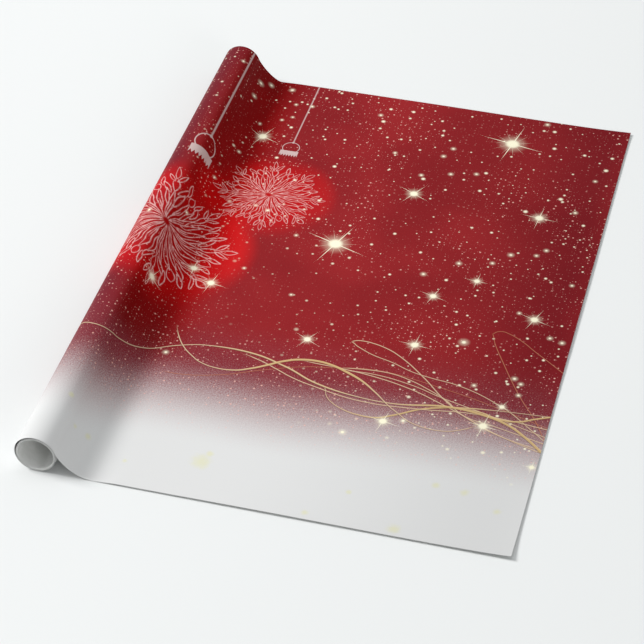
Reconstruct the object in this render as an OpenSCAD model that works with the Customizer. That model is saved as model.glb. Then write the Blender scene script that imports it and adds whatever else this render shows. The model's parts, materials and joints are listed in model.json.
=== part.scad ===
// Wrapping paper roll, partly unrolled on a table.
// One sheet of printed paper, wound without a core. The printed side is up on the table and outside on the roll.
// +Y runs along the roll, +X from the roll to the sheet's free edge, and Z = 0 is the table.
// The origin is on the table, under the middle of the whole object. Millimetres and degrees.

/* [Sheet] */
// Width of the paper, along the roll
sheet_w = 737; // [300:1:1000]
// Length that lies flat, from where the paper meets the table to the free edge
flat_l = 422; // [200:1:900]
// Length at the free edge that can be lifted, part of the flat length
free_end_l = 120; // [60:1:160]
// Thickness of the paper
paper_t = 0.12; // [0.08:0.01:0.3]

/* [Roll] */
// Outside radius of the roll
roll_r = 22; // [16:0.5:40]
// Turns wound inside the outer turn
wound_count = 9.7; // [3:0.1:20]
// Distance from one wound turn to the next, which is the paper and the air between
turn_pitch = 0.19; // [0.15:0.01:0.3]
// Angle above level at which the paper leaves the roll
leave_angle = 20; // [0:1:40]
// Angle above level at which the outer turn ends, behind the paper that leaves
tail_angle = 30; // [22:1:45]
// How far the outer turn's end is tucked inwards
tuck = 0.5; // [0.4:0.05:1]

/* [Rise] */
// Distance from the roll's axis to where the paper meets the table
foot_reach = 62; // [54:1:100]
// How far the paper keeps the roll's direction as it leaves
roll_pull = 14; // [6:1:16]
// How far the paper keeps the table's direction before its foot
foot_pull = 22; // [8:1:26]

/* [Fits] */
// Least gap between the outer turn and the turns wound inside it
turn_gap = 0.35; // [0.3:0.05:1]
// How far the wound turns have sagged from the outer turn's centre
sag = 0.5; // [0:0.05:1]

/* [Hidden] */
$fn = 180;
printed = "#912126";
back = "#E4E4E2";

// The roll's place, which puts the origin under the middle of the whole object
roll_x = -(foot_reach + flat_l - roll_r) / 2;
roll_z = roll_r;
foot_x = roll_x + foot_reach;
edge_x = foot_x + flat_l;
fold_x = edge_x - free_end_l;

// The outer turn runs from leave_angle over the top, down and under to its tucked end
turn_step = 2.5;
web_steps = 28;
turn_end = 360 + tail_angle;
tuck_start = 285;
function eased(s) = s * s * (3 - 2 * s);
function tucked(a) = a < tuck_start ? 0 : tuck * eased((a - tuck_start) / (turn_end - tuck_start));

// The wound turns lie low and towards the rising paper, and clear the outer turn all round
sag_angle = -45;
inner_reach = max([for (a = [leave_angle : turn_step : turn_end]) tucked(a) + sag * cos(a - sag_angle)]);
coil_r = roll_r - paper_t - turn_gap - inner_reach;
bore_r = coil_r - wound_count * turn_pitch;
coil_x = roll_x + sag * cos(sag_angle);
coil_z = roll_z + sag * sin(sag_angle);

// Points on the roll's section, seen along +Y
function on_roll(r, a) = [roll_x + r * cos(a), roll_z + r * sin(a)];

// The rising paper's printed face is one curve from the roll to the table
rise_a = on_roll(roll_r, leave_angle);
rise_b = rise_a + roll_pull * [sin(leave_angle), -cos(leave_angle)];
rise_c = [foot_x - foot_pull, paper_t];
rise_d = [foot_x, paper_t];
function rise(t) = pow(1 - t, 3) * rise_a + 3 * pow(1 - t, 2) * t * rise_b
    + 3 * (1 - t) * pow(t, 2) * rise_c + pow(t, 3) * rise_d;
function rise_way(t) = pow(1 - t, 2) * (rise_b - rise_a) + 2 * (1 - t) * t * (rise_c - rise_b)
    + pow(t, 2) * (rise_d - rise_c);
function rise_back(t) = let (way = rise_way(t)) rise(t) + paper_t * [way[1], -way[0]] / norm(way);

// Draws a section of the paper in X and Z, and gives it the sheet's width along Y
module across_sheet() {
    rotate([90, 0, 0])
        linear_extrude(height = sheet_w, center = true)
            children();
}

module flat_strip(from_x, to_x) {
    across_sheet()
        translate([from_x, 0])
            square([to_x - from_x, paper_t]);
}

module free_end() {
    color(printed) flat_strip(fold_x, edge_x);
}

module flat_sheet() {
    color(printed) flat_strip(foot_x, fold_x);
}

module rising_web() {
    color(printed)
        across_sheet()
            polygon(concat(
                [for (i = [0 : web_steps]) rise(i / web_steps)],
                [for (i = [web_steps : -1 : 0]) rise_back(i / web_steps)]
            ));
}

module outer_turn() {
    angles = [for (a = [leave_angle : turn_step : turn_end]) a];
    count = len(angles);
    color(printed)
        across_sheet()
            polygon(concat(
                [for (i = [0 : count - 1]) on_roll(roll_r - tucked(angles[i]), angles[i])],
                [for (i = [count - 1 : -1 : 0]) on_roll(roll_r - paper_t - tucked(angles[i]), angles[i])]
            ));
}

module wound_turns() {
    color(back)
        translate([coil_x, 0, coil_z])
            rotate([90, 0, 0])
                difference() {
                    cylinder(r = coil_r, h = sheet_w, center = true);
                    cylinder(r = bore_r, h = sheet_w + 2, center = true);
                }
}

free_end();
flat_sheet();
rising_web();
outer_turn();
wound_turns();
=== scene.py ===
import json
import math

import bpy
import numpy as np
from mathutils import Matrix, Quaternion, Vector


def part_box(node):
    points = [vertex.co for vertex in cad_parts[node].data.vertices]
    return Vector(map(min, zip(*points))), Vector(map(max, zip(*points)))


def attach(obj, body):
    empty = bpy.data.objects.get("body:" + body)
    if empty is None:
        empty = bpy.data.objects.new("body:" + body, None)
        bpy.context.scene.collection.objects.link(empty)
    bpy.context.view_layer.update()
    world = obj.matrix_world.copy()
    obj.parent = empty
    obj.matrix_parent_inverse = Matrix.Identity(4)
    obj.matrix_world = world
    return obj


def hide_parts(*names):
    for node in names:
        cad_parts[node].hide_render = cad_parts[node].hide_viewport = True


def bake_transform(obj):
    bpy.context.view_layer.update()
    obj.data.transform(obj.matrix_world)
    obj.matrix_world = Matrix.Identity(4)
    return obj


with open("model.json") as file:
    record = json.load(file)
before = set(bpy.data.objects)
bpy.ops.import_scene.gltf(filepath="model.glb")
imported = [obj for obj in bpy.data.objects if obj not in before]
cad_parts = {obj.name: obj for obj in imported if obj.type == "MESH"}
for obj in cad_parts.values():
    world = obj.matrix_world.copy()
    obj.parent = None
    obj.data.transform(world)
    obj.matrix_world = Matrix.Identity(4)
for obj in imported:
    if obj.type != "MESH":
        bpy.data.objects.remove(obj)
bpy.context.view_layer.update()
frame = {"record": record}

# ---------------------------------------------------------------------------
# Sizes, in metres, read from the frame, and a few of the paper's own that the frame doesn't hold
# ---------------------------------------------------------------------------
MM = 0.001

free_low, free_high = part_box("free_end")
flat_low, flat_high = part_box("flat_sheet")
_, web_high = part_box("rising_web")
turn_low, turn_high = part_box("outer_turn")
coil_low, coil_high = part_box("wound_turns")

PAPER = flat_high.z
SHEET_WIDTH = free_high.y - free_low.y
NEAR_EDGE, FAR_EDGE = free_low.y, free_high.y
FREE_EDGE = free_high.x
FOLD = flat_high.x
FOOT = flat_low.x

ROLL_RADIUS = turn_high.z / 2
ROLL_AXIS = Vector((turn_low.x + ROLL_RADIUS, 0, ROLL_RADIUS))
# Angles round the roll count up from +X: where the paper leaves it, and where the loose turn's hidden end
# lies. That end is tucked in from TUCK_START on, by TUCK
LEAVE_ANGLE = math.asin((web_high.z - ROLL_RADIUS) / ROLL_RADIUS)
TAIL_ANGLE = math.radians(390)
TUCK_START = math.radians(285)
TUCK = 0.5 * MM

COIL_AXIS = (coil_low + coil_high) / 2
COIL_RADIUS = (coil_high.z - coil_low.z) / 2
BORE_RADIUS = next(m for m in frame["record"]["mounts"] if m["name"] == "bore")["dims"]["r_mm"] * MM
COIL_TURNS = 9.7

# The curved rise from the table to the roll: how far its two ends pull it straight, at the near edge and at
# the far edge, and how far its foot is drawn in towards the roll at the far edge
NEAR_PULLS = (14 * MM, 22 * MM)
FAR_PULLS = (10 * MM, 10 * MM)
DRAWN_IN = 11 * MM
# How many rows of points a sheet has across its width
SHEET_ROWS = 150

# The printed design repeats along the paper, three times on a whole roll. In millimetres.
REPEAT = 610
DESIGN_END = FREE_EDGE / MM
DESIGN_START = DESIGN_END - REPEAT
# How far on from its start the design blends with its end
START_BLEND = 60


# ---------------------------------------------------------------------------
# Node trees, for materials and for geometry
# ---------------------------------------------------------------------------
class Value:
    """A socket that Python's operators work on. Each operation adds one Math node."""

    def __init__(self, tree, socket):
        self.tree, self.socket = tree, socket

    def __add__(self, other):
        return self.tree.math("ADD", self, other)

    def __sub__(self, other):
        return self.tree.math("SUBTRACT", self, other)

    def __rsub__(self, other):
        return self.tree.math("SUBTRACT", other, self)

    def __mul__(self, other):
        return self.tree.math("MULTIPLY", self, other)

    def __truediv__(self, other):
        return self.tree.math("DIVIDE", self, other)

    def __abs__(self):
        return self.tree.math("ABSOLUTE", self)

    def __lt__(self, other):
        return self.tree.math("LESS_THAN", self, other)

    def __gt__(self, other):
        return self.tree.math("GREATER_THAN", self, other)

    __radd__ = __add__
    __rmul__ = __mul__


class Tree:
    """A node tree, with one method that adds any node and a few short names for the common ones."""

    def __init__(self, nodes):
        self.nodes, self.links = nodes.nodes, nodes.links

    def add(self, kind, settings=None, inputs=None, output=0):
        """Adds a node: its settings first, then its sockets' values or links. Gives one output."""
        node = self.nodes.new(kind)
        for name, setting in (settings or {}).items():
            setattr(node, name, setting)
        for key, given in (inputs or {}).items():
            socket = node.inputs[key]
            if isinstance(given, Value):
                self.links.new(given.socket, socket)
            elif given is not None:
                socket.default_value = given
        return Value(self, node.outputs[output]) if node.outputs else None

    def other(self, value, name):
        """Another output of the node that a Value came from."""
        return Value(self, value.socket.node.outputs[name])

    def scale(self, vector, factor):
        return self.add("ShaderNodeVectorMath", {"operation": "SCALE"}, {"Vector": vector, "Scale": factor})

    def math(self, operation, a, b=0.5, c=0.0):
        return self.add("ShaderNodeMath", {"operation": operation}, {0: a, 1: b, 2: c})

    def vector(self, operation, a, b=None, c=None, output=0):
        inputs = {0: a}
        if b is not None:
            inputs[1] = b
        if c is not None:
            inputs[2] = c
        return self.add("ShaderNodeVectorMath", {"operation": operation}, inputs, output)

    def join(self, x, y, z=0.0):
        return self.add("ShaderNodeCombineXYZ", None, {0: x, 1: y, 2: z})

    def split(self, v):
        x = self.add("ShaderNodeSeparateXYZ", None, {0: v})
        return x, self.other(x, "Y"), self.other(x, "Z")

    def low(self, a, b):
        return self.math("MINIMUM", a, b)

    def high(self, a, b):
        return self.math("MAXIMUM", a, b)

    def rise(self, x, start, end, low=0.0, high=1.0):
        """Goes smoothly from low at start to high at end, whichever of start and end is larger."""
        return self.add(
            "ShaderNodeMapRange",
            {"interpolation_type": "SMOOTHSTEP"},
            {"Value": x, "From Min": start, "From Max": end, "To Min": low, "To Max": high},
        )

    def mix(self, share, a, b):
        """A colour between a and b."""
        return self.add("ShaderNodeMix", {"data_type": "RGBA"}, {0: share, 6: a, 7: b}, 2)

    def choose(self, share, a, b):
        """The vector a, or b where share is 1."""
        return self.add("ShaderNodeMix", {"data_type": "VECTOR"}, {0: share, 4: a, 5: b}, 1)

    def curve(self, x, points):
        """A smooth curve through points from 0 to 1."""
        value = self.add("ShaderNodeFloatCurve", None, {"Value": x})
        mapping = value.socket.node.mapping
        shape = mapping.curves[0].points
        shape[0].location, shape[1].location = points[0], points[-1]
        for point in points[1:-1]:
            shape.new(*point)
        mapping.extend = "HORIZONTAL"
        mapping.update()
        return value

    def noise(self, place, scale, detail=2.0, roughness=0.5):
        settings = {"noise_dimensions": "2D"}
        inputs = {"Vector": place, "Scale": scale, "Detail": detail, "Roughness": roughness}
        return self.add("ShaderNodeTexNoise", settings, inputs)


def linear(red, green, blue):
    """A screen colour, 0 to 255, as the linear colour that shaders take."""
    parts = [c / 255 for c in (red, green, blue)]
    return (*[p / 12.92 if p <= 0.04045 else ((p + 0.055) / 1.055) ** 2.4 for p in parts], 1.0)


# ---------------------------------------------------------------------------
# The printed design. Its places are (along, across) in millimetres in the frame: along runs with X on
# the flat part and goes on round the roll, and across is Y.
# ---------------------------------------------------------------------------
RED_FIELD = linear(148, 38, 41)
RED_DEEP = linear(128, 30, 34)
# Painted shade: the red towards the free edge, away from the lamps
RED_PAINTED_SHADE = linear(98, 18, 26)
# Painted sheen and shade: a duller, darker red on the roll's crest
RED_ROLL_PAINTED_SHEEN_SHADE = linear(104, 34, 43)
RED_GLOW = linear(204, 14, 18)
RED_RIM = linear(226, 34, 34)
RED_FADING = linear(122, 44, 54)
SNOW = linear(215, 215, 214)
CREAM = linear(248, 243, 214)
PINK_DOT = linear(232, 180, 166)
YELLOW_BLOT = linear(216, 213, 160)
LACE = linear(224, 176, 172)
HANGER = linear(206, 184, 180)
GOLD = linear(218, 188, 134)
GOLD_PALE = linear(218, 190, 158)
GOLD_DARK = linear(134, 96, 56)
GOLD_RED = linear(190, 118, 92)
SHADE = linear(58, 22, 18)
BACK_DULL = linear(224, 224, 221)
BACK_PALE = linear(232, 232, 230)
# Painted light on the floor: lighter on the left, towards the key lamp, and darker on the right
FLOOR_PAINTED_LIGHT_LEFT = (0.808, 0.819, 0.812, 1)
FLOOR_PAINTED_SHADE_RIGHT = (0.704, 0.714, 0.708, 1)

# Two glass balls hang on strings: the middle of each one's snowflake, its radius, and how it is turned
BALLS = [(-232, 12, 98, -0.14), (-133, 138, 68, -0.10)]
# How strongly each ball glows, in its middle and further out, and how strongly its right rim does. The
# first ball's weaker middle is painted shade, where it lies on the paper coming down from the roll
GLOWS = [(0.45, 0.85, 0.5), (0.6, 0.6, 0.15)]
# Where their light meets: middle and radius
GLOW_BETWEEN = ((-194, 118), 46)
# The middle of each ball's crown cap, and its size
CAPS = [(-232, 150, 96), (-133, 225, 61)]

# Stars with rays: middle, size, and which way they are turned
RAYED_STARS = [
    (120, 312, 17, 0.2), (-35, 69, 17, 0.35), (29, 184, 10, 0.5), (178, 176, 10, 0.1),
    (-172, 250, 11, 0.4), (-176, -15, 8, 0.0), (-215, -67, 9, 0.3), (-150, -35, 9, 0.2),
    (207, -6, 9, 0.35), (91, -80, 9, 0.1), (-22, -101, 8, 0.5), (87, -207, 9, 0.2),
    (188, -188, 10, 0.15), (201, -154, 6, 0.4), (248, -237, 6, 0.1), (92, 6, 8, 0.3), (133, 44, 7, 0.1),
]
# Plain soft stars: middle and radius
SOFT_STARS = [
    (107, 70, 5.0), (73, 41, 5.0), (189, 1, 4.0), (141, -62, 7.5), (107, -201, 5.5),
    (51, -234, 6.0), (-213, 56, 4.5), (-162, -160, 5.0), (62, 233, 4.6), (29, 222, 4.4),
    (91, 241, 4.4), (54, 284, 4.6), (153, 362, 5.0), (46, 266, 4.6), (-46, 330, 4.4),
    (-11, 258, 4.0), (-164, 354, 5.4), (-206, 340, 5.6), (-194, 352, 5.6), (-206, 311, 4.8),
    (-131, 326, 4.2), (-151, 325, 3.6), (-148, 298, 3.4), (-159, 289, 3.6), (-184, 274, 4.2),
    (-240, 340, 4.0), (-192, 207, 4.0), (-203, 140, 3.6), (-82, 73, 3.8), (-122, 0, 3.6),
    (-59, -32, 3.6), (229, -33, 4.6), (243, -38, 5.0), (166, -128, 4.4), (205, -107, 5.0),
    (213, -114, 4.6), (214, -132, 4.4), (160, 100, 5.2), (197, 118, 4.6), (216, 196, 4.6),
    (188, 106, 4.2), (143, 80, 4.4), (228, 262, 4.0), (236, 62, 4.0), (-257, 22, 4.6),
    (-126, 110, 4.6),
]
# Pale yellow blots in the snow: middle and radius
BLOTS = [
    (-76, -313, 12), (-70, -300, 5), (134, -358, 8), (-236, -292, 4), (-214, -318, 3.5),
    (-196, -316, 4.5), (161, -286, 5), (191, -289, 5.5), (227, -308, 5), (79, -318, 3.5),
    (45, -358, 4.5), (-150, -332, 3),
]

# Gold strands: width, where they are thick, colour, how long their ends fade, and points that the strand
# runs through
THIN = None
STRANDS = [
    (0.7, THIN, GOLD_RED, 14, [
        (-159, -190), (-136, -190), (-100, -182), (-50, -160), (-8, -144), (13, -140), (60, -131),
        (120, -138), (253, -176),
    ]),
    (0.8, THIN, GOLD_RED, 2, [
        (168, -41), (172, -52), (176, -61), (187, -82), (202, -110), (216, -134), (240, -170),
        (252, -194),
    ]),
    (0.8, THIN, GOLD_RED, 2, [
        (168, -40), (172, -36), (178, -34), (185, -36), (201, -45), (217, -58), (235, -72),
        (253, -87),
    ]),
    (1.1, THIN, GOLD_PALE, 12, [
        (24, -137), (59, -132), (78, -132), (99, -137), (120, -146), (142, -158), (169, -179),
        (205, -187), (253, -200),
    ]),
    (1.0, THIN, GOLD_PALE, 12, [
        (30, -140), (61, -138), (101, -144), (138, -156), (190, -170), (253, -190),
    ]),
    (1.2, THIN, GOLD_PALE, 2, [
        (25, -92), (30, -89), (37, -88), (48, -89), (65, -94), (81, -103), (112, -129), (143, -160),
        (176, -184), (253, -214),
    ]),
    (1.0, THIN, GOLD_PALE, 2, [
        (25, -93), (31, -97), (38, -101), (53, -108), (74, -114), (100, -124), (120, -128),
        (148, -132), (197, -152), (237, -182), (253, -196),
    ]),
    (2.2, (100, 150), GOLD, 4, [
        (15, -172), (20, -183), (28, -192), (42, -200), (58, -204), (77, -204), (94, -196),
        (127, -176), (162, -166), (199, -161), (253, -158),
    ]),
    (1.2, THIN, GOLD_PALE, 18, [
        (-84, -142), (-63, -147), (-42, -156), (-20, -166), (0, -172), (60, -183), (120, -179),
        (176, -172), (253, -178),
    ]),
    (1.2, THIN, GOLD_PALE, 18, [
        (-20, -137), (0, -137), (26, -138), (58, -141), (100, -150), (136, -164), (170, -180),
        (200, -196), (253, -210),
    ]),
    (2.2, (215, 260), GOLD, 30, [
        (150, -166), (182, -168), (202, -174), (220, -173), (237, -165), (253, -158),
    ]),
    (2.4, (-70, 10), GOLD, 20, [
        (-123, -138), (-76, -138), (-34, -150), (9, -169), (51, -177), (89, -178),
    ]),
    (2.9, (150, 260), GOLD, 12, [
        (-300, -168), (-268, -179), (-243, -184), (-207, -173), (-184, -162), (-150, -145),
        (-123, -138), (-76, -138), (-34, -150), (9, -169), (51, -177), (89, -178), (152, -168),
        (192, -173), (212, -180), (230, -192), (253, -213),
    ]),
    (3.0, (-30, 30), GOLD, 10, [
        (-165, -112), (-155, -134), (-145, -148), (-134, -158), (-120, -167), (-103, -171),
        (-85, -170), (-68, -163), (-52, -153), (-36, -142), (-19, -135), (-1, -133), (13, -135),
        (32, -142), (50, -151), (67, -164), (96, -189), (126, -205), (149, -206), (166, -200),
        (182, -188),
    ]),
]


class Print(Tree):
    """The design's own tree. here is the place on the paper in mm, and along and across are its two
    numbers. They start again at each repeat of the design, and those of endless don't."""

    def __init__(self, nodes):
        super().__init__(nodes)
        place = self.add("ShaderNodeUVMap", {"uv_map": "UVMap"})
        along, across, _ = self.split(self.scale(place, 1 / MM))
        # Paper drawn off the roll shows the stretch of design that lies where it now is
        rest = self.add("ShaderNodeAttribute", {"attribute_name": "rest_x"}, output="Fac")
        pays_out = self.add("ShaderNodeAttribute", {"attribute_name": "pays_out"}, output="Fac")
        now, _, _ = self.split(self.add("ShaderNodeTexCoord", output="Object"))
        along = along - (rest - now) * pays_out * (1 / MM)
        self.across = across
        self.endless = self.join(along, across)
        self.along = self.math("WRAP", along, DESIGN_END, DESIGN_START)
        self.here = self.join(self.along, across)
        # 1 where the design starts again, and 0 a little further on
        self.starting = self.rise(self.along, DESIGN_START + START_BLEND, DESIGN_START)

    def about(self, middle, size, turn=0.0):
        """The place counted from a middle, in units of size. Its third number is the turn."""
        moved = (-middle[0] / size, -middle[1] / size, turn)
        return self.vector("MULTIPLY_ADD", self.here, (1 / size, 1 / size, 0), moved)

    def reach(self, middle, size):
        """How far the place is from a middle, in units of size."""
        return self.vector("DISTANCE", self.here, (*middle, 0), output="Value") / size

    def least_reach(self, things):
        """How far off the nearest of several (along, across, size) is, in units of its size."""
        least, *others = [self.reach((a, b), size) for a, b, size in things]
        for reach in others:
            least = self.low(least, reach)
        return least

    def length(self, v):
        return self.vector("LENGTH", v, output="Value")

    def nearest(self, things):
        """The place seen from the nearest of several (along, across, size, turn), and how far that is."""
        placed = [(self.about((a, b), size, turn), self.reach((a, b), size)) for a, b, size, turn in things]
        best, reach = placed[0]
        for one, far in placed[1:]:
            best = self.choose(far < reach, best, one)
            reach = self.low(reach, far)
        return best, reach

    def rays(self, angle, reach, count, length, width, turn):
        """Thin straight rays that taper to nothing at their length."""
        off = self.math("PINGPONG", angle + turn, math.pi / count)
        side = reach * self.math("SINE", off)
        taper = self.rise(reach, length, 0) * width
        return self.rise(side / self.high(taper, 0.001), 1.0, 0.2) * (reach < length)


def red_field(p):
    """Red with soft light and dark patches, painted shade that darkens it towards the free edge, painted
    sheen and shade on the roll's crest, and a fine grain.
    """
    patches = p.noise(p.endless, 0.007)
    grain = p.noise(p.endless, 1.1, detail=1.0)
    field = p.mix(p.rise(patches * 0.6 + grain * 0.4, 0.32, 0.66), RED_DEEP, RED_FIELD)
    # Painted sheen and shade: the red is duller and darker on the roll's crest
    painted_sheen_shade_on_roll = p.rise(p.along, -236, -262) * (1 - p.starting)
    field = p.mix(painted_sheen_shade_on_roll * 0.85, field, RED_ROLL_PAINTED_SHEEN_SHADE)
    # Painted shade: the red darkens towards the free edge, away from the lamps. Both ends of the design are
    # equally dark, so that it joins where it starts again
    joins_at = 0.75
    edge = p.rise(p.along + patches * 60, 130, 280)
    edge = edge * p.rise(p.along, DESIGN_END, DESIGN_END - 25, joins_at, 1.0)
    edge = p.high(edge, p.starting * joins_at)
    return p.mix(edge * 0.6, field, RED_PAINTED_SHADE)


def snow_share(p):
    """How white the paper is: 0 in the red field, 1 in the snow at the near edge, speckled in between."""
    waves = p.noise(p.vector("MULTIPLY", p.endless, (1, 0, 0)), 0.004, detail=1.0)
    # How many mm the snow's edge moves: towards the near edge on the roll, away from it at the free edge
    on_roll = p.rise(p.along, -150, -235) * (1 - p.starting) * 34
    at_end = p.high(p.rise(p.along, 20, 200), p.starting) * 9
    edge = p.across + (waves - 0.5) * 40 + on_roll - at_end
    even = p.rise(edge, -154, -294)
    speckle = p.noise(p.endless, 0.62, roughness=0.7) - 0.5
    fine = p.noise(p.endless, 1.3, detail=1.0) - 0.5
    flecks = (speckle * 1.1 + fine * 0.8) * p.rise(edge, -85, -180) * (1 - even * 0.95)
    return p.low(p.high(even + flecks * p.rise(even, 0.0, 0.4, 0.4, 1.0), 0.0), 1.0)


def small_dots(p, cell, least, most, share, seed):
    """Round dots, one to a cell, with radii from least to most. Only a share of the cells has one."""
    # Each seed looks at another part of the same endless pattern
    place = p.vector("ADD", p.endless, (seed * 37.3, seed * 17.9, 0))
    dots = p.add("ShaderNodeTexVoronoi", {"voronoi_dimensions": "2D"}, {"Vector": place, "Scale": 1 / cell})
    chance, size, _ = p.split(p.other(dots, "Color"))
    radius = (size * size * (most - least) + least) / cell
    return p.rise(dots / radius, 1.2, 0.2) * (chance < share)


def star_light(p):
    """The rayed stars and the plain soft ones."""
    star, reach = p.nearest(RAYED_STARS)
    x, y, turned = p.split(star)
    angle = p.math("ARCTAN2", y, x)
    heart = p.rise(reach, 0.72, 0.26)
    halo = p.rise(reach, 1.2, 0.0) * 0.5
    long_rays = p.rays(angle, reach, count=4, length=2.5, width=0.07, turn=turned)
    short_rays = p.rays(angle, reach, count=11, length=1.7, width=0.05, turn=turned + 0.6) * 0.5
    rayed = p.high(p.high(heart, halo), p.high(long_rays, short_rays))
    soft_reach = p.least_reach(SOFT_STARS)
    soft = p.high(p.rise(soft_reach, 0.55, 0.12), p.rise(soft_reach, 1.1, 0.1) * 0.42)
    return p.high(rayed, soft)


def leaf(p, x, y, line, middle, half_length, half_width, tilt):
    """The outline of a leaf with two points, in a snowflake's own units."""
    c, s = math.cos(tilt), math.sin(tilt)
    u = x * c + y * s - (middle[0] * c + middle[1] * s)
    v = y * c - x * s - (middle[1] * c - middle[0] * s)
    w = u / half_length
    side = (1 - w * w) * half_width
    return p.rise(abs(abs(v) - side), line, line * 0.25) * (abs(w) < 1.02)


# A snowflake's leaves, along one arm and beside it: middle, half length, half width, tilt
LEAVES = [
    ((0.30, 0.0), 0.24, 0.030, 0.0),
    ((0.66, 0.0), 0.13, 0.036, 0.0),
    ((0.89, 0.0), 0.11, 0.038, 0.0),
    ((0.79, 0.070), 0.10, 0.024, 0.62),
    ((0.60, 0.105), 0.12, 0.030, 0.55),
    ((0.42, 0.070), 0.17, 0.024, 0.28),
    ((0.36, 0.149), 0.22, 0.030, 0.393),
    ((0.62, 0.257), 0.09, 0.050, 0.393),
    ((0.72, 0.190), 0.10, 0.028, 0.22),
]


def snowflake(p, flake):
    """A lacy snowflake of leaf outlines: eight arms, shorter leaves between them, and fine ribs."""
    arms, line, bend = 8, 0.0105, 0.13
    settings = {"noise_dimensions": "2D"}
    wobble = p.add("ShaderNodeTexNoise", settings, {"Vector": flake, "Scale": 2.6, "Detail": 1.0}, "Color")
    centred = p.vector("ADD", wobble, (-0.5, -0.5, 0))
    bent = p.vector("MULTIPLY", p.vector("MULTIPLY_ADD", centred, (bend, bend, 0), flake), (1, 1, 0))
    reach = p.length(bent)
    across, up, _ = p.split(bent)
    _, _, turn = p.split(flake)
    angle = p.math("ARCTAN2", up, across) + turn
    off = p.math("PINGPONG", angle, math.pi / arms)
    x = reach * p.math("COSINE", off)
    y = reach * p.math("SINE", off)
    drawn = 0.0
    for shape in LEAVES:
        drawn = p.high(drawn, leaf(p, x, y, line, *shape))
    ribs = p.math("PINGPONG", angle, math.pi / arms / 2) * reach
    ribs = p.rise(ribs, 0.010, 0.003) * p.rise(reach, 0.40, 0.30) * p.rise(reach, 0.03, 0.08)
    drawn = p.high(drawn, ribs)
    worn = p.noise(p.here, 0.16)
    return drawn * p.rise(worn, 0.35, 0.6, 0.5, 1.0)


def hanger(p):
    """Each ball's string, ring and crown cap, counted from the cap's middle in the cap's units."""
    first, second = [p.about((a, b), size) for a, b, size in CAPS]
    between = (CAPS[0][0] + CAPS[1][0]) / 2
    x, y, _ = p.split(p.choose(p.along < between, second, first))
    side = abs(x)
    string = p.rise(side, 0.018, 0.008) * (y > 0.36)
    ring_middle, ring_radius = 0.18, 0.165
    off_ring = abs(p.length(p.join(x, (y - ring_middle) * 0.95)) - ring_radius)
    ring = p.rise(off_ring, 0.011, 0.004) * (y > 0.0)
    knot = p.rise(p.length(p.join(x, y - 0.355)), 0.032, 0.018)
    tooth, cap_top, cap_foot = 0.026, 0.075, -0.105
    teeth = p.math("PINGPONG", x + tooth, tooth) * 2.4
    cap = p.rise(side, 0.185, 0.175) * (y < cap_top) * (y > (teeth + cap_foot))
    return p.high(p.high(string * 0.8, ring), p.high(knot, cap))


def strand(p, width, thick, fade, points):
    """Where a gold strand covers the paper, how far across its width this place is, how thick it is there,
    and where it casts shade."""
    # All strands lie between these two places across the paper
    low, high = -240.0, -20.0
    first, last, ends_at = points[0][0], points[-1][0], points[-1][1]
    runs_on = last >= DESIGN_END - 1
    if runs_on:
        # The strand's end comes round again at the start of the next repeat
        points = [(DESIGN_START, ends_at), (DESIGN_START + 34, ends_at - 6)] + points
    placed = [((a - DESIGN_START) / REPEAT, (b - low) / (high - low)) for a, b in points]

    def curve(shift):
        share = (p.along + (shift - DESIGN_START)) / REPEAT
        return p.curve(share, placed) * (high - low) + low

    ahead = 2.4
    here = curve(0.0)
    slope = (curve(ahead) - here) / ahead
    off = (p.across - here) / p.math("SQRT", slope * slope + 1)
    half, fullness = width / 2, 0.0
    if thick:
        fullness = p.rise(p.along, thick[0] - 90, thick[0]) * p.rise(p.along, thick[1] + 60, thick[1])
        half = (fullness * 0.62 + 0.38) * half
    cover = p.rise(abs(off) - half, 0.3, -0.3)
    shown = p.rise(p.along, first - 1, first + fade)
    if runs_on:
        shown = p.high(shown, p.rise(p.along, DESIGN_START + 32, DESIGN_START + 8))
    else:
        shown = shown * p.rise(p.along, last + 1, last - fade)
    shade = p.rise(off + half, -1.5, 0.0) * p.rise(off, 1.0, 0.0)
    return cover * shown, off / half, fullness, shade * shown


def ball_glow(p, colour):
    """Each ball is a soft red light, brightest along its right."""
    glow, rim = 0.0, 0.0
    for (a, b, size, _), (middle, outer, edge) in zip(BALLS, GLOWS):
        x, y, _ = p.split(p.about((a, b), size))
        reach = p.reach((a, b), size)
        towards = p.rise((x * 0.93 + y * 0.37) / p.high(reach, 0.01), 0.5, 1.0)
        own_glow = p.rise(reach, 1.26, 0.62) * p.rise(reach, 0.4, 0.95, middle, outer)
        own_rim = p.rise(abs(reach - 1.0), 0.26, 0.0) * towards * edge
        glow = p.high(glow, own_glow)
        rim = p.high(rim, own_rim)
    # Their light meets between them
    glow = p.high(glow, p.rise(p.reach(*GLOW_BETWEEN), 1.2, 0.2) * 0.85)
    colour = p.mix(glow, colour, RED_GLOW)
    return p.mix(rim, colour, RED_RIM)


def scattered_dots(p, colour):
    """Specks and fine dots that crowd above the snow, and larger cream dots in the upper right."""
    fading = p.rise(p.across, -300, -200)
    crowd = p.rise(p.noise(p.endless, 0.009, detail=1.0), 0.38, 0.62, 0.3, 1.0)
    sparse_middle, sparse_radius = (-70, -20), 130
    crowd = crowd * p.rise(p.reach(sparse_middle, sparse_radius), 0.5, 1.1, 0.25, 1.0)
    crowd = p.high(crowd, p.rise(p.across, -80, -150) * 0.9) * fading
    specks = small_dots(p, cell=3.4, least=0.25, most=0.6, share=0.38, seed=2) * 0.65
    fine_dots = small_dots(p, cell=6.0, least=0.6, most=1.4, share=0.34, seed=1)
    colour = p.mix(p.high(fine_dots, specks) * crowd, colour, PINK_DOT)
    upper_right = p.rise(p.along * 0.8 + p.across * 0.6, -190, 60) * fading
    middling = small_dots(p, cell=15.0, least=1.0, most=2.2, share=0.30, seed=4) * 0.9
    large = small_dots(p, cell=34.0, least=1.6, most=3.2, share=0.4, seed=3)
    return p.mix(p.high(middling, large) * upper_right, colour, CREAM)


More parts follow.
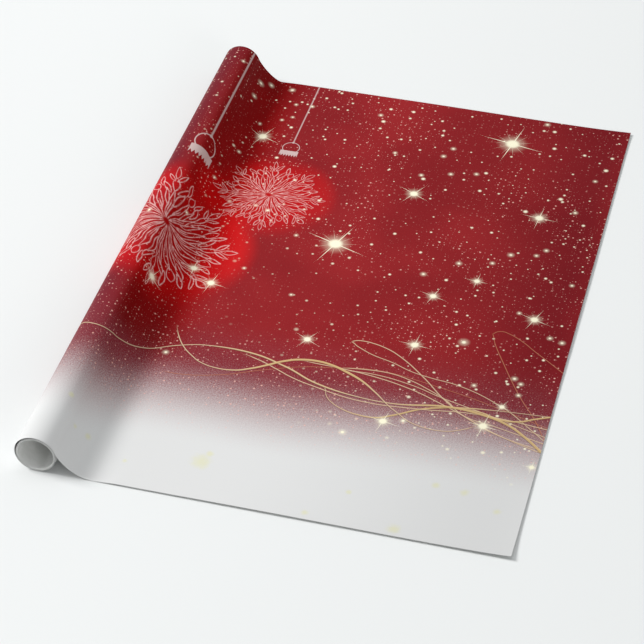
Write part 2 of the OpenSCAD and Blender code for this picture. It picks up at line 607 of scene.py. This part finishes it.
def gold_strands(p, colour):
    """Gold strands with a little shade. A thick one is two fine ones side by side, darker between them."""
    for width, thick, gold, fade, points in STRANDS:
        cover, across, fullness, shade = strand(p, width, thick, fade, points)
        colour = p.mix(shade * (0.45 if thick else 0.25), colour, SHADE)
        lit = gold
        if thick:
            lit = p.mix(fullness, GOLD_PALE, gold)
            lit = p.mix(p.rise(abs(across - 0.15), 0.4, 0.0) * fullness * 0.45, lit, GOLD_DARK)
        lit = p.mix(p.rise(across, 0.0, -1.0) * 0.55, lit, GOLD_DARK)
        colour = p.mix(cover * 0.92, colour, lit)
    return colour


def printed_colour(p):
    """The whole design, from the red field up to the stars on top."""
    colour = ball_glow(p, red_field(p))
    colour = p.mix(p.rise(p.across, -80, -190) * 0.75, colour, RED_FADING)
    # Painted shade: the print is made darker and a purer red where the paper comes down from the roll
    painted_trough_shade = p.rise(p.along, -246, -230) * p.rise(p.along, -130, -180) * p.rise(p.across, -190, -140)
    colour = p.mix(painted_trough_shade, colour, p.vector("MULTIPLY", colour, (0.82, 0.13, 0.13)))
    colour = p.mix(snow_share(p), colour, SNOW)
    colour = scattered_dots(p, colour)
    ball, _ = p.nearest(BALLS)
    colour = p.mix(snowflake(p, ball) * 0.85, colour, LACE)
    colour = p.mix(hanger(p) * 0.9, colour, HANGER)
    blots = p.rise(p.least_reach(BLOTS) + p.noise(p.endless, 0.12) * 0.8, 1.6, 0.5)
    colour = p.mix(blots * 0.5, colour, YELLOW_BLOT)
    colour = gold_strands(p, colour)
    colour = p.mix(p.low(star_light(p), 1.0), colour, CREAM)
    # Painted shade: the print is made a little darker towards the free edge, away from the lamps, and so at
    # the start of the next repeat
    darkest_painted_shade = 0.84
    at_end = p.rise(p.along, -60, DESIGN_END, 1.0, darkest_painted_shade)
    at_start = p.rise(p.along, -290, DESIGN_START, 1.0, darkest_painted_shade)
    return p.scale(colour, at_end * at_start)


def paper_surface(p, colour, roughness, fibre):
    """Uncoated paper: a fine fibre that shows in its relief and a little in its gloss. Printed paper counts
    the fibre to a millimetre, and bare paper to a metre."""
    place = p.here if isinstance(p, Print) else p.add("ShaderNodeTexCoord", output="Object")
    tooth_inputs = {"Vector": place, "Scale": fibre, "Detail": 3.0, "Roughness": 0.6}
    tooth = p.add("ShaderNodeTexNoise", None, tooth_inputs)
    relief = p.add("ShaderNodeBump", None, {"Strength": 0.10, "Distance": 0.05 * MM, "Height": tooth})
    rough = p.rise(tooth, 0.3, 0.7, roughness - 0.05, roughness + 0.05)
    inputs = {"Base Color": colour, "Roughness": rough, "Normal": relief, "IOR": 1.1}
    surface = p.add("ShaderNodeBsdfPrincipled", None, inputs)
    p.add("ShaderNodeOutputMaterial", None, {"Surface": surface})


def fresh_material(name):
    material = bpy.data.materials.new(name)
    material.use_nodes = True
    material.node_tree.nodes.clear()
    return material


def printed_material():
    material = fresh_material("printed_paper")
    p = Print(material.node_tree)
    paper_surface(p, printed_colour(p), roughness=0.52, fibre=1.6)
    return material


def back_material():
    material = fresh_material("bare_paper_back")
    t = Tree(material.node_tree)
    place = t.add("ShaderNodeTexCoord", output="Object")
    cloud = t.add("ShaderNodeTexNoise", None, {"Vector": place, "Scale": 120.0, "Detail": 4.0})
    colour = t.mix(t.rise(cloud, 0.35, 0.65), BACK_DULL, BACK_PALE)
    paper_surface(t, colour, roughness=0.72, fibre=1600.0)
    return material


def floor_material():
    material = fresh_material("studio_floor")
    t = Tree(material.node_tree)
    place = t.add("ShaderNodeTexCoord", output="Object")
    x, _, _ = t.split(place)
    cloud = t.add("ShaderNodeTexNoise", None, {"Vector": place, "Scale": 1.5, "Detail": 1.0})
    # Painted light: the floor is lighter on the left and darker on the right
    colour = t.mix(t.rise(x + cloud * 0.1, -0.65, 0.75), FLOOR_PAINTED_LIGHT_LEFT, FLOOR_PAINTED_SHADE_RIGHT)
    surface = t.add("ShaderNodeBsdfPrincipled", None, {"Base Color": colour, "Roughness": 0.85})
    t.add("ShaderNodeOutputMaterial", None, {"Surface": surface})
    return material


# ---------------------------------------------------------------------------
# Paper made along a path by Geometry Nodes
# ---------------------------------------------------------------------------
def paper_tree():
    """A tree that turns a path of points into a sheet across it. The path's points hold how far along the
    paper they are, and how far the paper's edges have slipped sideways there."""
    group = bpy.data.node_groups.new("paper_along_a_path", "GeometryNodeTree")
    sockets = group.interface
    sockets.new_socket("Path", in_out="INPUT", socket_type="NodeSocketGeometry")
    kinds = {"Width": "Float", "Rows": "Int", "Outside": "Material", "Inside": "Material"}
    for name, kind in kinds.items():
        sockets.new_socket(name, in_out="INPUT", socket_type="NodeSocket" + kind)
    sockets.new_socket("Sheet", in_out="OUTPUT", socket_type="NodeSocketGeometry")
    t = Tree(group)
    given = t.add("NodeGroupInput", output="Path")
    width, rows, outside, inside = (t.other(given, name) for name in kinds)

    columns = t.add("GeometryNodeAttributeDomainSize", {"component": "MESH"}, {"Geometry": given})
    grid = t.add(
        "GeometryNodeMeshGrid", None,
        {"Size X": 1.0, "Size Y": 1.0, "Vertices X": columns, "Vertices Y": rows},
    )
    u, v, _ = t.split(t.other(grid, "UV Map"))
    column = t.math("ROUND", u * (columns - 1))

    def on_path(field, data_type):
        settings = {"data_type": data_type, "domain": "POINT"}
        inputs = {"Geometry": given, "Value": field, "Index": column}
        return t.add("GeometryNodeSampleIndex", settings, inputs)

    def named(name, data_type="FLOAT"):
        return t.add("GeometryNodeInputNamedAttribute", {"data_type": data_type}, {"Name": name})

    place = on_path(t.add("GeometryNodeInputPosition"), "FLOAT_VECTOR")
    inwards = on_path(named("inwards", "FLOAT_VECTOR"), "FLOAT_VECTOR")
    along = on_path(named("along"), "FLOAT")
    slip = on_path(named("slip"), "FLOAT")
    across = (v - 0.5) * width
    # The grid's own numbers are kept on it before its points move
    mapped = t.add(
        "GeometryNodeStoreNamedAttribute", {"data_type": "FLOAT2", "domain": "CORNER"},
        {"Geometry": grid, "Name": "UVMap", "Value": t.join(along, across)},
    )
    back_place = t.vector("ADD", t.vector("ADD", place, inwards), t.join(0.0, across + slip, 0.0))
    for name, value in (("out", t.scale(inwards, -1.0)), ("back_place", back_place)):
        mapped = t.add(
            "GeometryNodeStoreNamedAttribute", {"data_type": "FLOAT_VECTOR", "domain": "POINT"},
            {"Geometry": mapped, "Name": name, "Value": value},
        )
    back = t.add(
        "GeometryNodeSetPosition", None,
        {"Geometry": mapped, "Position": named("back_place", "FLOAT_VECTOR")},
    )
    # The back face is turned over, and a copy of it raised by the paper's thickness is the front face
    raised = t.add("GeometryNodeExtrudeMesh", {"mode": "FACES"}, {
        "Mesh": back, "Offset": named("out", "FLOAT_VECTOR"), "Offset Scale": 1.0, "Individual": False,
    })
    front = t.add(
        "GeometryNodeStoreNamedAttribute", {"data_type": "BOOLEAN", "domain": "FACE"},
        {"Geometry": raised, "Name": "printed_side", "Value": t.other(raised, "Top")},
    )
    under = t.add("GeometryNodeFlipFaces", None, {"Mesh": back})
    both = t.add("GeometryNodeJoinGeometry")
    for part in (under, front):
        t.links.new(part.socket, both.socket.node.inputs[0])
    closed = t.add("GeometryNodeMergeByDistance", None, {"Geometry": both, "Distance": 0.005 * MM})
    for name in ("out", "back_place"):
        closed = t.add("GeometryNodeRemoveAttribute", None, {"Geometry": closed, "Name": name})
    real = t.add("GeometryNodeRealizeInstances", None, {"Geometry": closed})
    bare = t.add("GeometryNodeSetMaterial", None, {"Geometry": real, "Material": inside})
    printed = t.add(
        "GeometryNodeSetMaterial", None,
        {"Geometry": bare, "Selection": named("printed_side", "BOOLEAN"), "Material": outside},
    )
    t.add("NodeGroupOutput", None, {"Sheet": printed})
    return group


def sheet_along(name, tree, path, along, slip, rows, outside, inside):
    """A closed thin piece of paper across a path of (x, z) points of its printed face, as a plain mesh."""
    points = np.array(path)
    heading = np.gradient(points, axis=0)
    heading /= np.linalg.norm(heading, axis=1, keepdims=True)
    inwards = np.stack([heading[:, 1], 0 * heading[:, 1], -heading[:, 0]], axis=1) * PAPER
    host = bpy.data.meshes.new(name + "_path")
    host.from_pydata([(x, 0, z) for x, z in path], [(i, i + 1) for i in range(len(path) - 1)], [])
    for attribute, values in (("along", along), ("slip", slip)):
        host.attributes.new(attribute, "FLOAT", "POINT").data.foreach_set("value", values)
    host.attributes.new("inwards", "FLOAT_VECTOR", "POINT").data.foreach_set("vector", inwards.ravel())
    maker = bpy.data.objects.new(name + "_maker", host)
    bpy.context.scene.collection.objects.link(maker)
    modifier = maker.modifiers.new("paper", "NODES")
    modifier.node_group = tree
    sizes = {"Width": SHEET_WIDTH, "Rows": rows, "Outside": outside, "Inside": inside}
    for item in tree.interface.items_tree:
        if item.name in sizes:
            modifier[item.identifier] = sizes[item.name]
    evaluated = maker.evaluated_get(bpy.context.evaluated_depsgraph_get())
    made = bpy.data.meshes.new_from_object(evaluated)
    bpy.data.objects.remove(maker)
    made.attributes.remove(made.attributes["printed_side"])
    made.name = name
    made.shade_smooth()
    made.set_sharp_from_angle(angle=math.radians(40))
    piece = bpy.data.objects.new(name, made)
    bpy.context.scene.collection.objects.link(piece)
    return piece


def eased(s):
    return s * s * (3 - 2 * s)


def on_circle(axis, radius, angle):
    return axis.x + radius * math.cos(angle), axis.z + radius * math.sin(angle)


def rise_path(steps, pulls, drawn_in=0.0):
    """The paper's printed face between the roll and the table, from the roll down, as a Bezier curve."""
    roll_pull, foot_pull = pulls
    a = Vector(on_circle(ROLL_AXIS, ROLL_RADIUS, LEAVE_ANGLE))
    b = a + roll_pull * Vector((math.sin(LEAVE_ANGLE), -math.cos(LEAVE_ANGLE)))
    c = Vector((FOOT - drawn_in - foot_pull, PAPER))
    d = Vector((FOOT - drawn_in, PAPER))
    points = []
    for i in range(steps + 1):
        t = i / steps
        point = (1 - t) ** 3 * a + 3 * (1 - t) ** 2 * t * b + 3 * (1 - t) * t ** 2 * c + t ** 3 * d
        points.append(tuple(point))
    return points


def turn_path(steps):
    """The outermost turn's printed face, from its tucked end to where the paper leaves the roll."""
    points = []
    for i in range(steps + 1):
        angle = TAIL_ANGLE + (LEAVE_ANGLE - TAIL_ANGLE) * i / steps
        tucked = TUCK * eased(max(0.0, (angle - TUCK_START) / (TAIL_ANGLE - TUCK_START)))
        points.append(on_circle(ROLL_AXIS, ROLL_RADIUS - tucked, angle))
    return points


def flat_path(start, end, steps):
    return [(start + (end - start) * i / steps, PAPER) for i in range(steps + 1)]


def lengths_back_from(path, last):
    """How far along the paper each point of a path is, when its last point is at last."""
    points = np.array(path)
    steps = np.linalg.norm(np.diff(points, axis=0), axis=1)
    return last - np.concatenate([np.cumsum(steps[::-1])[::-1], [0.0]])


def lift(along, across):
    """How far the flat paper stands off the table, in metres: its near and free edges curl up a little."""
    # Each edge's curl in mm, and how fast it dies away from the edge
    side_curl, free_curl = 16 * MM, 24 * MM
    near = np.exp(-(across - NEAR_EDGE) / side_curl) * (2.3 + 1.2 * along + 0.4 * np.sin(along * 21 + 1.0))
    far = np.exp(-(FAR_EDGE - across) / side_curl) * (0.8 + 0.4 * np.sin(along * 17 + 2.0))
    free = np.exp(-(FREE_EDGE - along) / free_curl) * (1.6 + 0.3 * np.sin(across * 13 + 0.5))
    swell = 0.25 * (1 + np.sin(along * 19 + across * 7) * np.sin(across * 11 - along * 5))
    settled = np.clip((along - FOOT + 10 * MM) / (35 * MM), 0, 1)
    return (near + far + free + swell) * settled * settled * (3 - 2 * settled) * MM


def points_of(mesh):
    places = np.zeros(len(mesh.vertices) * 3)
    mesh.vertices.foreach_get("co", places)
    return places.reshape(-1, 3)


def put_points(mesh, places):
    mesh.vertices.foreach_set("co", places.ravel())
    mesh.update()


def lift_flat_part(piece):
    """Raises a piece's points by the lift at their place on the paper."""
    places = points_of(piece.data)
    flat = places[:, 0] > FOOT - 10 * MM
    places[flat, 2] += lift(places[flat, 0], places[flat, 1])
    put_points(piece.data, places)


def share_of_far_foot(y):
    """How much of the far edge's bend a place has: none in the nearest third, and all at that edge."""
    starts = -100 * MM
    return eased(np.clip((y - starts) / (FAR_EDGE - starts), 0, 1))


def bend_far_foot(piece, leaves_roll):
    """Draws the paper's foot in towards the roll at the far edge, where it comes down more steeply."""
    places = points_of(piece.data)
    steps = 200
    near, far = np.array(rise_path(steps, NEAR_PULLS)), np.array(rise_path(steps, FAR_PULLS, DRAWN_IN))
    share = share_of_far_foot(places[:, 1])
    x, z = places[:, 0].copy(), places[:, 2]
    in_rise = (x < FOOT) & (x > near[0, 0] - 0.2 * MM) & (z < near[0, 1] + 0.1 * MM)
    away_x, away_z = near[None, :, 0] - x[in_rise, None], near[None, :, 1] - z[in_rise, None]
    nearest = np.argmin(away_x ** 2 + away_z ** 2, axis=1)
    shift = (far - near)[nearest] * share[in_rise, None]
    places[in_rise, 0] += shift[:, 0]
    places[in_rise, 2] = np.maximum(places[in_rise, 2] + shift[:, 1], 0)
    on_table = x >= FOOT
    settled = 1 - eased(np.clip((x[on_table] - FOOT) / (70 * MM), 0, 1))
    places[on_table, 0] -= DRAWN_IN * share[on_table] * settled
    put_points(piece.data, places)
    move_print_at_foot(piece.data, places[:, 0], on_table, share, leaves_roll)


def move_print_at_foot(mesh, x, on_table, share, leaves_roll):
    """The print follows the bent foot: on the table it stays where it was, and on the rise it closes up."""
    corners = np.zeros(len(mesh.loops), dtype=int)
    mesh.loops.foreach_get("vertex_index", corners)
    printed = np.zeros(len(mesh.loops) * 2)
    mesh.uv_layers["UVMap"].data.foreach_get("uv", printed)
    printed = printed.reshape(-1, 2)
    table_corner = on_table[corners]
    printed[table_corner, 0] = x[corners[table_corner]]
    rise_corner = ~table_corner & (printed[:, 0] > leaves_roll)
    foot = FOOT - DRAWN_IN * share[corners[rise_corner]]
    closing = (foot - leaves_roll) / (FOOT - leaves_roll)
    printed[rise_corner, 0] = leaves_roll + (printed[rise_corner, 0] - leaves_roll) * closing
    mesh.uv_layers["UVMap"].data.foreach_set("uv", printed.ravel())


def note_rest_place(piece):
    """Keeps each point's X at rest, and marks the piece as one whose paper is drawn off the roll."""
    mesh = piece.data
    rest_x = points_of(mesh)[:, 0]
    for attribute, values in (("rest_x", rest_x), ("pays_out", np.ones(len(mesh.vertices)))):
        added = mesh.attributes.new(attribute, "FLOAT", "POINT")
        added.data.foreach_set("value", values.astype(np.float32))


def make_printed_sheet(tree, printed, back):
    """The sheet from its fold line to the outermost turn's tucked end, in one piece. Gives how far along
    the paper that end is."""
    on_turn, on_rise, on_flat = 92, 30, 76
    path = turn_path(on_turn) + rise_path(on_rise, NEAR_PULLS)[1:] + flat_path(FOOT, FOLD, on_flat)[1:]
    along = lengths_back_from(path, FOLD)
    slip = np.zeros(len(path))
    piece = sheet_along("printed_sheet", tree, path, along, slip, SHEET_ROWS, printed, back)
    lift_flat_part(piece)
    bend_far_foot(piece, along[on_turn])
    note_rest_place(piece)
    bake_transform(piece)
    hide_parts("flat_sheet", "rising_web", "outer_turn")
    return float(along[0])


def make_free_edge(tree, printed, back):
    """The last stretch of the sheet, which lifts."""
    path = flat_path(FOLD, FREE_EDGE, steps=40)
    along, slip = [x for x, _ in path], np.zeros(len(path))
    piece = sheet_along("lifting_edge", tree, path, along, slip, SHEET_ROWS, printed, back)
    lift_flat_part(piece)
    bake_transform(piece)
    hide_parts("free_end")


def make_wound_turns(tree, printed, back, tail):
    """The turns inside, as one spiral from the bore outwards. Each turn's edge has slipped a little."""
    steps_a_turn, rows = 72, 8
    steps = round(COIL_TURNS * steps_a_turn)
    outer = COIL_RADIUS - 0.02 * MM
    inner = BORE_RADIUS + PAPER
    most_slip = 0.5
    chance = np.random.default_rng(7)
    slips = chance.uniform(-most_slip, most_slip, math.ceil(COIL_TURNS) + 2) * MM
    path, slip = [], []
    for i in range(steps + 1):
        turn = COIL_TURNS * i / steps
        angle = TAIL_ANGLE + 2 * math.pi * (COIL_TURNS - turn)
        radius = inner + (outer - inner) * i / steps
        path.append(on_circle(COIL_AXIS, radius, angle))
        slip.append(float(np.interp(turn, range(len(slips)), slips)))
    along = lengths_back_from(path, tail)
    piece = sheet_along("wound_spiral", tree, path, along, slip, rows, printed, back)
    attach(piece, "roll")
    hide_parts("wound_turns")


# ---------------------------------------------------------------------------
# Floor, lights and camera
# ---------------------------------------------------------------------------
def make_stage():
    mesh = bpy.data.meshes.new("studio_floor")
    half = 80.0
    level = -0.1 * MM
    corners = [(x * half, y * half, level) for x, y in ((-1, -1), (1, -1), (1, 1), (-1, 1))]
    mesh.from_pydata(corners, [], [(0, 1, 2, 3)])
    mesh.materials.append(floor_material())
    floor = bpy.data.objects.new("studio_floor", mesh)
    bpy.context.scene.collection.objects.link(floor)


def add_light(name, place, width, power):
    """A far lamp that lights the floor evenly from the side of a place. Its width is in degrees."""
    light = bpy.data.lights.new(name, "SUN")
    light.angle, light.energy = math.radians(width), power
    lamp = bpy.data.objects.new(name, light)
    lamp.location = place
    lamp.rotation_mode = "QUATERNION"
    lamp.rotation_quaternion = (-Vector(place)).to_track_quat("-Z", "Y")
    bpy.context.scene.collection.objects.link(lamp)


def make_lights():
    add_light("key", (-5.9, 0.3, 5.0), width=19, power=2.66)
    add_light("soft_top", (-0.4, 0.4, 3.6), width=45, power=0.55)
    add_light("low_fill", (2.2, -2.3, 0.9), width=20, power=0.46)
    world = bpy.data.worlds.new("studio")
    world.use_nodes = True
    background = world.node_tree.nodes["Background"]
    background.inputs["Color"].default_value = (0.95, 0.98, 1.0, 1)
    background.inputs["Strength"].default_value = 0.42
    bpy.context.scene.world = world
    bpy.context.scene.view_settings.view_transform = "Standard"


def make_camera():
    """Looks down at the sheet from its near right, from far off with a long lens."""
    target = Vector((-0.0144, -0.0682, 0.0))
    azimuth, elevation, roll = math.radians(14.7), math.radians(39.6), math.radians(0.2)
    distance = 2.502
    sideways = math.cos(elevation)
    back = Vector((math.sin(azimuth) * sideways, -math.cos(azimuth) * sideways, math.sin(elevation)))
    data = bpy.data.cameras.new("camera")
    data.lens, data.sensor_width = 129.35, 36
    camera = bpy.data.objects.new("camera", data)
    camera.location = target + back * distance
    camera.rotation_mode = "QUATERNION"
    camera.rotation_quaternion = (-back).to_track_quat("-Z", "Y") @ Quaternion((0, 0, 1), roll)
    bpy.context.scene.collection.objects.link(camera)
    bpy.context.scene.camera = camera


make_camera()
paper = paper_tree()
bare = back_material()
printed = printed_material()
tail = make_printed_sheet(paper, printed, bare)
make_free_edge(paper, printed, bare)
make_wound_turns(paper, printed, bare, tail)
make_stage()
make_lights()
